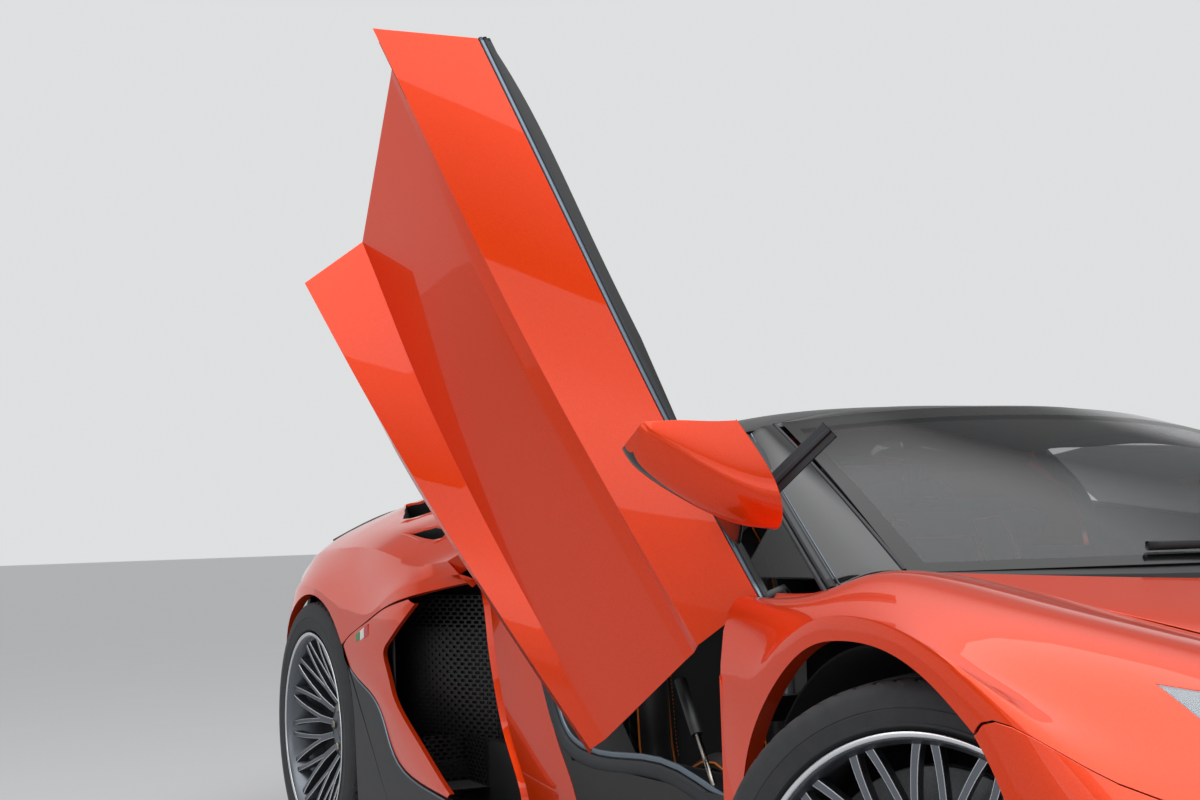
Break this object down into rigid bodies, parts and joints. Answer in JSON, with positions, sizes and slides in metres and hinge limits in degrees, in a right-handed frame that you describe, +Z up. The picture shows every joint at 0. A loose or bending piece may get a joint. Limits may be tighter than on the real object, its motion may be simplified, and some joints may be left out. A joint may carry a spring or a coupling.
{
  "type": "supercar",
  "caption": "Low two-seat mid-engined sports car with doors that swing up, removable roof panels, opening front lid and engine cover, and steered front wheels.",
  "frame": {"origin": "on the ground under the middle of the wheelbase, on the centre plane", "axes": "+Y towards the tail, +X towards the car's left side, +Z up"},
  "size_m": [2.5451, 4.804, 1.8355],
  "materials": {
    "paint": "metallic orange, glossy",
    "gloss_black": "black, glossy",
    "glass": "lightly tinted",
    "lamp_clear": "clear lens",
    "lamp_red": "red lens",
    "mesh": "black, moulded",
    "composite": "dark laminate",
    "rail_metal": "cast and machined",
    "liner_plastic": "black, grained",
    "engine_metal": "cast",
    "exhaust_metal": "brushed",
    "leather": "black leather, stitched",
    "tyre": "rubber",
    "rim": "dark grey with bright machined edges"
  },
  "bodies": {
    "body": {"windscreen_frame": "gloss_black", "windscreen_glass": "glass", "front_fender_left": "paint", "front_fender_right": "paint", "headlamps": "lamp_clear", "front_bumper": "paint", "grilles": "mesh", "roof_panels": "gloss_black", "rear_deck": "paint", "rear_quarter_left": "paint", "rear_quarter_right": "paint", "rear_bumper": "paint", "tail_lamps": "lamp_red", "rear_wing": "paint", "monocoque": "composite", "chassis_rails": "rail_metal", "front_well": "liner_plastic", "arch_liners": "liner_plastic", "side_skirts": "liner_plastic", "underfloor": "composite", "engine_block": "engine_metal", "exhaust": "exhaust_metal", "seats": "leather", "dashboard": "leather", "steering_wheel": "leather", "fixed_windows": "glass", "front_suspension": "rail_metal", "rear_suspension": "rail_metal"},
    "front_lid": {"front_lid": "paint"},
    "engine_cover": {"engine_cover": "gloss_black"},
    "door_left": {"door_left": "paint", "door_window_left": "glass", "mirror_left": "paint"},
    "door_right": {"door_right": "paint", "mirror_right": "paint"},
    "knuckle_left": {"knuckle_left": "rail_metal"},
    "knuckle_right": {"knuckle_right": "rail_metal"},
    "wheel_front_left": {"tyre_front_left": "tyre", "rim_front_left": "rim"},
    "wheel_front_right": {"tyre_front_right": "tyre", "rim_front_right": "rim"},
    "wheel_rear_left": {"tyre_rear_left": "tyre", "rim_rear_left": "rim"},
    "wheel_rear_right": {"tyre_rear_right": "tyre", "rim_rear_right": "rim"}
  },
  "joints": [
    {"name": "front_lid_hinge", "type": "hinge", "parent": "body", "child": "front_lid", "pos_m": [0, -1.166, 0.8], "axis": [-1, 0, 0], "range_deg": [0, 55]},
    {"name": "engine_cover_hinge", "type": "hinge", "parent": "body", "child": "engine_cover", "pos_m": [0, 0.609, 1.084], "axis": [1, 0, 0], "range_deg": [0, 60]},
    {"name": "door_left_hinge", "type": "hinge", "parent": "body", "child": "door_left", "pos_m": [0.9, -0.908, 0.75], "axis": [0.9404, 0.0724, -0.3322], "range_deg": [0, 62.2]},
    {"name": "door_right_hinge", "type": "hinge", "parent": "body", "child": "door_right", "pos_m": [-0.9, -0.908, 0.75], "axis": [0.9404, -0.0724, 0.3322], "range_deg": [-62.2, 0]},
    {"name": "steer_left", "type": "hinge", "parent": "body", "child": "knuckle_left", "pos_m": [0.838, -1.35, 0.33], "axis": [0, 0, 1], "range_deg": [-70, 0]},
    {"name": "steer_right", "type": "hinge", "parent": "body", "child": "knuckle_right", "pos_m": [-0.838, -1.35, 0.33], "axis": [0, 0, 1], "range_deg": [-70, 0]},
    {"name": "spin_front_left", "type": "hinge", "parent": "knuckle_left", "child": "wheel_front_left", "pos_m": [0.85602, -1.33738, 0.33], "axis": [0.8192, 0.5736, 0], "continuous": true},
    {"name": "spin_front_right", "type": "hinge", "parent": "knuckle_right", "child": "wheel_front_right", "pos_m": [-0.85602, -1.36262, 0.33], "axis": [0.8192, 0.5736, 0], "continuous": true},
    {"name": "spin_rear_left", "type": "hinge", "parent": "body", "child": "wheel_rear_left", "pos_m": [0.845, 1.35, 0.355], "axis": [1, 0, 0], "continuous": true},
    {"name": "spin_rear_right", "type": "hinge", "parent": "body", "child": "wheel_rear_right", "pos_m": [-0.845, 1.35, 0.355], "axis": [1, 0, 0], "continuous": true}
  ],
  "couplings": [
    {"joint": "steer_left", "follows": "steer_right", "ratio": 1}
  ]
}
